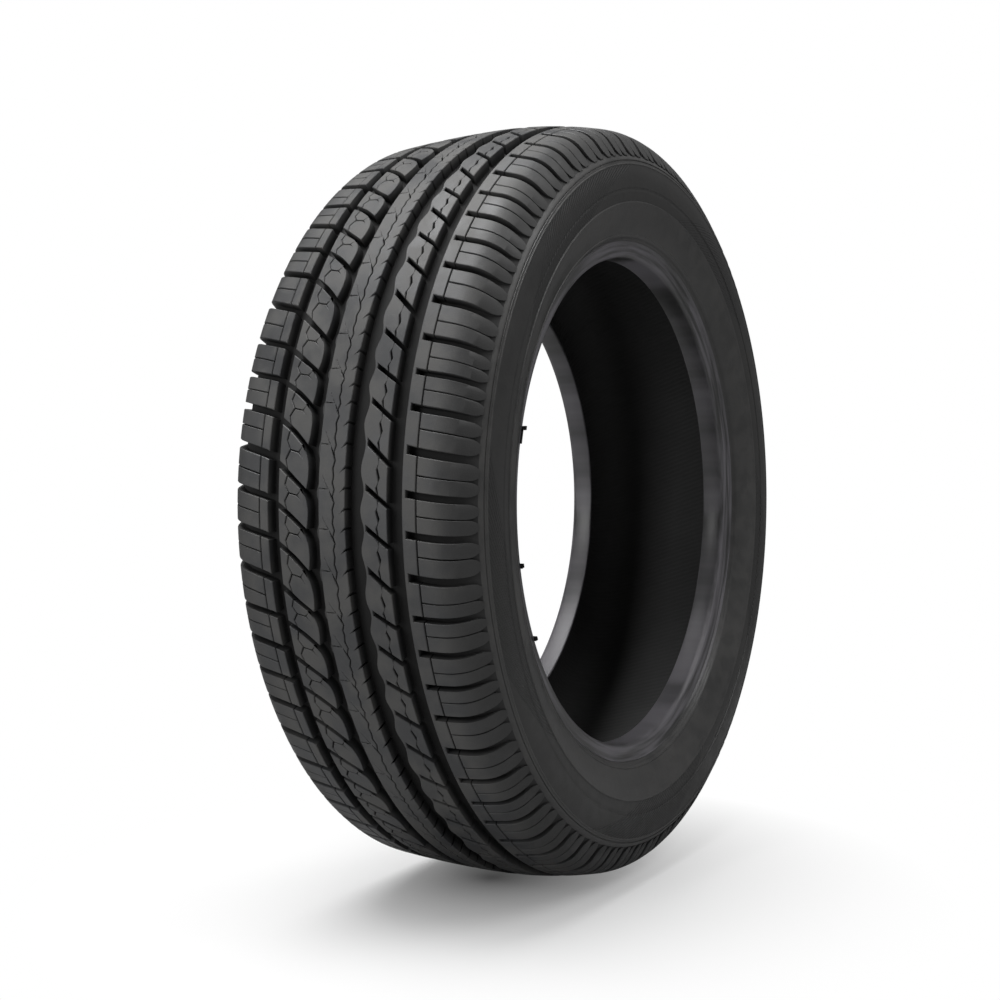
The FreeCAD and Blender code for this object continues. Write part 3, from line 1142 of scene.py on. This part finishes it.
def scrap_mesh(name):
    """Thin strips of rubber along the heel of the right bead."""
    bm = bmesh.new()
    for upper, lower, reach in SCRAPS:
        tooth = upper - TOOTH_DEGREES
        tip = HEEL_HALF + reach
        outline = [
            (upper, SCRAP_ROOT), (lower, SCRAP_ROOT), (lower, STRIP_EDGE),
            (tooth, STRIP_EDGE), (tooth, tip), (upper, tip),
        ]
        ring = []
        for degrees, across in outline:
            angle = math.radians(degrees)
            place = (-SCRAP_R * math.cos(angle), -across, SCRAP_R * math.sin(angle))
            ring.append(bm.verts.new(Vector(place) * MM))
        bm.faces.new(ring)
    bmesh.ops.recalc_face_normals(bm, faces=bm.faces[:])
    bmesh.ops.solidify(bm, geom=bm.faces[:], thickness=SCRAP_WALL * MM)
    bmesh.ops.recalc_face_normals(bm, faces=bm.faces[:])
    return mesh_from(name, bm)


add_piece("bead_scraps", scrap_mesh("bead_scraps"), [GROOVE], SCRAP_SHARP)

# %% [markdown]
# The picture shows the tyre on a white ground in soft studio light. The floor is a pale sheet that
# keeps the soft shadow of the tyre and fades to plain white away from it. What it throws back onto
# the rubber is kept lower, so that the light on the tyre itself stays plain.

# %% Floor
FLOOR_HALF = 6.0            # in metres, as all sizes of the stage
SHADE_X = -0.07             # the floor shows its shadow fully here, a little ahead of the contact
SHADE_Y = 0.02
SHADOW_REACH = 0.38         # and is plain white this far from there


def white_ground():
    """A sheet that fades to white where the camera sees it, and a dimmer one for all other light."""
    finish = Finish("white_ground")
    x, y = finish.place()[:2]
    ahead = x - SHADE_X
    aside = y - SHADE_Y
    reach = ((ahead * ahead + aside * aside) ** 0.5) * (1 / SHADOW_REACH)
    share = x.math("MINIMUM", reach, 1.0)
    sheet = finish.node("ShaderNodeBsdfDiffuse", {}, {"Color": grey(0.8)})
    dim = finish.node("ShaderNodeBsdfDiffuse", {}, {"Color": grey(0.4)})
    glow = finish.node("ShaderNodeEmission", {}, {"Color": grey(1.0), "Strength": 1.0})
    seen = finish.node("ShaderNodeMixShader", {}, {0: share, 1: sheet, 2: glow})
    path = finish.node("ShaderNodeLightPath", {}, {}, "Is Camera Ray")
    surface = finish.node("ShaderNodeMixShader", {}, {0: path, 1: dim, 2: seen})
    finish.feed(finish.tree.nodes["Material Output"].inputs["Surface"], surface)
    finish.tree.nodes.remove(finish.shader)
    return finish.material


bm = bmesh.new()
bmesh.ops.create_grid(bm, x_segments=1, y_segments=1, size=FLOOR_HALF)
bmesh.ops.translate(bm, verts=bm.verts[:], vec=(0, 0, cad_box[0].z))
floor_mesh = mesh_from("ground", bm)
floor_mesh.materials.append(white_ground())
floor = bpy.data.objects.new("ground", floor_mesh)
bpy.context.scene.collection.objects.link(floor)
print("floor at", round(cad_box[0].z, 4), "m")

# %% [markdown]
# The light comes from above and from the front of the tread; a weaker one fills the sidewall. Large
# lamps give the soft edges of a studio. The world adds a little light from all sides and is white
# where the camera sees it.

# %% Light
AMBIENT = 0.22


def lamp(name, place, aim, size, power):
    """A square lamp that faces a point."""
    light = bpy.data.lights.new(name, "AREA")
    light.size = size
    light.energy = power
    rig = bpy.data.objects.new(name, light)
    rig.location = place
    rig.rotation_euler = (Vector(aim) - Vector(place)).to_track_quat("-Z", "Y").to_euler()
    bpy.context.scene.collection.objects.link(rig)
    print("lamp", name, "of", power, "W")


lamp("key", place=(-0.6, 0.35, 2.4), aim=(0, 0, 0), size=1.8, power=86)
lamp("front", place=(-2.4, 0.8, 0.5), aim=(0, 0, 0.1), size=1.2, power=18)
lamp("side", place=(0.3, -1.5, 1.7), aim=(0, 0, 0.1), size=1.2, power=14)

world = bpy.data.worlds.new("studio")
world.use_nodes = True
bpy.context.scene.world = world
nodes = world.node_tree.nodes
links = world.node_tree.links
backdrop = nodes["Background"]
backdrop.inputs["Color"].default_value = grey(1.0)
ambient = nodes.new("ShaderNodeBackground")
ambient.inputs["Color"].default_value = grey(1.0)
ambient.inputs["Strength"].default_value = AMBIENT
path = nodes.new("ShaderNodeLightPath")
choice = nodes.new("ShaderNodeMixShader")
links.new(path.outputs["Is Camera Ray"], choice.inputs[0])
links.new(ambient.outputs[0], choice.inputs[1])
links.new(backdrop.outputs[0], choice.inputs[2])
links.new(choice.outputs[0], nodes["World Output"].inputs["Surface"])

# %% [markdown]
# The camera stands level with the axle, in front of the tread and a little to the right. Its place,
# its small turn away from the wheel centre and its lens were found by fitting the outline of the
# tyre.

# %% Camera
AZIMUTH = math.radians(-62.03)
ELEVATION = math.radians(0.65)
DISTANCE = 1.2045
YAW = math.radians(2.11)
PITCH_DOWN = math.radians(-0.04)
SENSOR = 36.0
LENS = 49.6

away = Vector((
    math.sin(AZIMUTH) * math.cos(ELEVATION),
    -math.cos(AZIMUTH) * math.cos(ELEVATION),
    math.sin(ELEVATION),
))
right = Vector((math.cos(AZIMUTH), math.sin(AZIMUTH), 0))
up = away.cross(right)
turn = Matrix((right, up, away)).transposed().to_4x4()
aim = Matrix.Rotation(YAW, 4, "Y") @ Matrix.Rotation(-PITCH_DOWN, 4, "X")
optics = bpy.data.cameras.new("camera")
optics.sensor_width = SENSOR
optics.lens = LENS
camera = bpy.data.objects.new("camera", optics)
camera.matrix_world = Matrix.Translation(away * DISTANCE) @ turn @ aim
bpy.context.scene.collection.objects.link(camera)
bpy.context.scene.camera = camera
bpy.context.scene.view_settings.view_transform = "Standard"
print("camera at", [round(n, 3) for n in camera.location])
